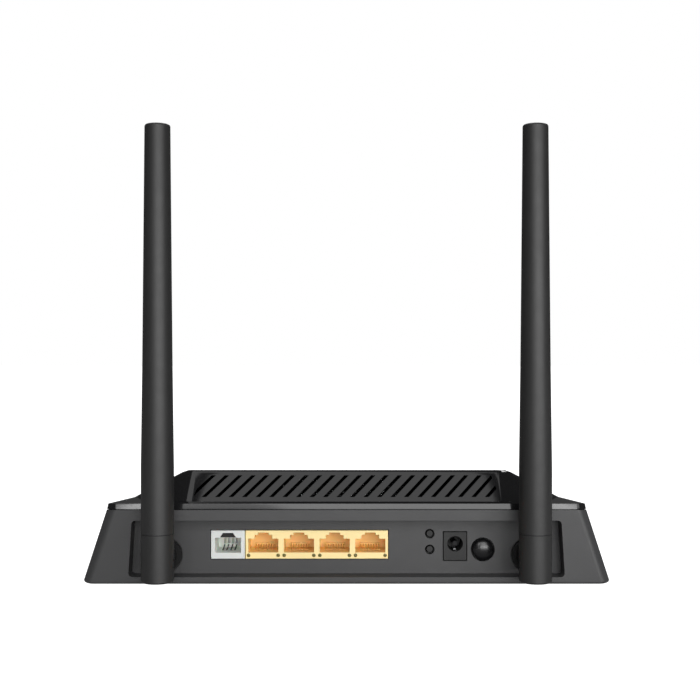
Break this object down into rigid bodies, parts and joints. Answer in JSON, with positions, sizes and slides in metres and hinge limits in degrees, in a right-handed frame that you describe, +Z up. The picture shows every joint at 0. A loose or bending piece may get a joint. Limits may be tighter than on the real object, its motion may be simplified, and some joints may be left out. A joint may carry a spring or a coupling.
{
  "type": "wireless router",
  "caption": "Desktop wireless router: wedge-shaped case with a raised vented deck, a recessed panel of network, phone and power sockets and push buttons, and folding round antennas.",
  "frame": {"origin": "on the resting surface, under the middle of the bounding box of the whole object", "axes": "+Z up; -Y is the way the connector side faces, +Y the way the indicator side faces; +X to the right of someone looking at the connectors"},
  "size_m": [0.2042, 0.1512, 0.176],
  "materials": {
    "case_black": "fine satin texture",
    "cover_gloss": "polished",
    "antenna_black": "satin",
    "foot_rubber": "matt",
    "board_green": "solder resist",
    "lan_yellow": "satin moulded",
    "phone_white": "satin moulded",
    "contact_gold": "gold plated",
    "plated_steel": "bright plated",
    "button_gloss": "polished",
    "moulded_black": "moulded",
    "component_black": "epoxy",
    "heatsink_aluminium": "extruded",
    "radiator_laminate": "laminate",
    "window_smoke": "polished smoked",
    "guide_clear": "clear moulded"
  },
  "bodies": {
    "case": {"bottom_case": "case_black", "top_cover": "cover_gloss", "rubber_foot_1": "foot_rubber", "rubber_foot_2": "foot_rubber", "rubber_foot_3": "foot_rubber", "rubber_foot_4": "foot_rubber", "main_board": "board_green", "button_board": "board_green", "lan_jack_housing": "lan_yellow", "phone_jack_housing": "phone_white", "phone_jack_contacts": "contact_gold", "lan_contacts_1": "contact_gold", "lan_contacts_2": "contact_gold", "lan_contacts_3": "contact_gold", "lan_contacts_4": "contact_gold", "left_coax_plug": "contact_gold", "right_coax_plug": "contact_gold", "board_screw_1": "plated_steel", "board_screw_2": "plated_steel", "board_screw_3": "plated_steel", "case_screw_1": "plated_steel", "case_screw_2": "plated_steel", "case_screw_3": "plated_steel", "case_screw_4": "plated_steel", "power_jack_pin": "plated_steel", "power_jack_spring": "plated_steel", "radio_shield_can": "plated_steel", "power_jack_housing": "moulded_black", "power_switch_body": "moulded_black", "reset_switch": "moulded_black", "wps_switch": "moulded_black", "processor": "component_black", "memory_chip": "component_black", "line_transformer": "component_black", "lan_magnetics": "component_black", "capacitor_1": "component_black", "capacitor_2": "component_black", "left_coax_lead": "component_black", "right_coax_lead": "component_black", "processor_heatsink": "heatsink_aluminium", "indicator_window": "window_smoke", "indicator_light_guide": "guide_clear"},
    "left_swivel": {"left_swivel": "antenna_black", "left_hinge_pin": "moulded_black", "left_swivel_retainer": "moulded_black"},
    "left_antenna": {"left_antenna_knuckle": "antenna_black", "left_antenna_radome": "antenna_black", "left_antenna_radiator": "radiator_laminate"},
    "right_swivel": {"right_swivel": "antenna_black", "right_hinge_pin": "moulded_black", "right_swivel_retainer": "moulded_black"},
    "right_antenna": {"right_antenna_knuckle": "antenna_black", "right_antenna_radome": "antenna_black", "right_antenna_radiator": "radiator_laminate"},
    "power_push": {"power_button": "button_gloss"},
    "reset_push": {"reset_button": "moulded_black"},
    "wps_push": {"wps_button": "moulded_black"}
  },
  "joints": [
    {"name": "left_antenna_swivel", "type": "hinge", "parent": "case", "child": "left_swivel", "pos_m": [-0.07104, -0.05841, 0.011], "axis": [0, -1, 0], "range_deg": [-22, 90]},
    {"name": "left_antenna_fold", "type": "hinge", "parent": "left_swivel", "child": "left_antenna", "pos_m": [-0.07104, -0.06941, 0.011], "axis": [1, 0, 0], "range_deg": [0, 90]},
    {"name": "right_antenna_swivel", "type": "hinge", "parent": "case", "child": "right_swivel", "pos_m": [0.07104, -0.05841, 0.011], "axis": [0, 1, 0], "range_deg": [-22, 90]},
    {"name": "right_antenna_fold", "type": "hinge", "parent": "right_swivel", "child": "right_antenna", "pos_m": [0.07104, -0.06941, 0.011], "axis": [1, 0, 0], "range_deg": [0, 90]},
    {"name": "power_press", "type": "slide", "parent": "case", "child": "power_push", "axis": [0, 1, 0], "range_m": [0, 0.0025], "stiffness_N_per_m": 300, "springref_m": -0.001},
    {"name": "reset_press", "type": "slide", "parent": "case", "child": "reset_push", "axis": [0, 1, 0], "range_m": [0, 0.0005], "stiffness_N_per_m": 400, "springref_m": -0.0005},
    {"name": "wps_press", "type": "slide", "parent": "case", "child": "wps_push", "axis": [0, 1, 0], "range_m": [0, 0.0005], "stiffness_N_per_m": 400, "springref_m": -0.0005}
  ]
}
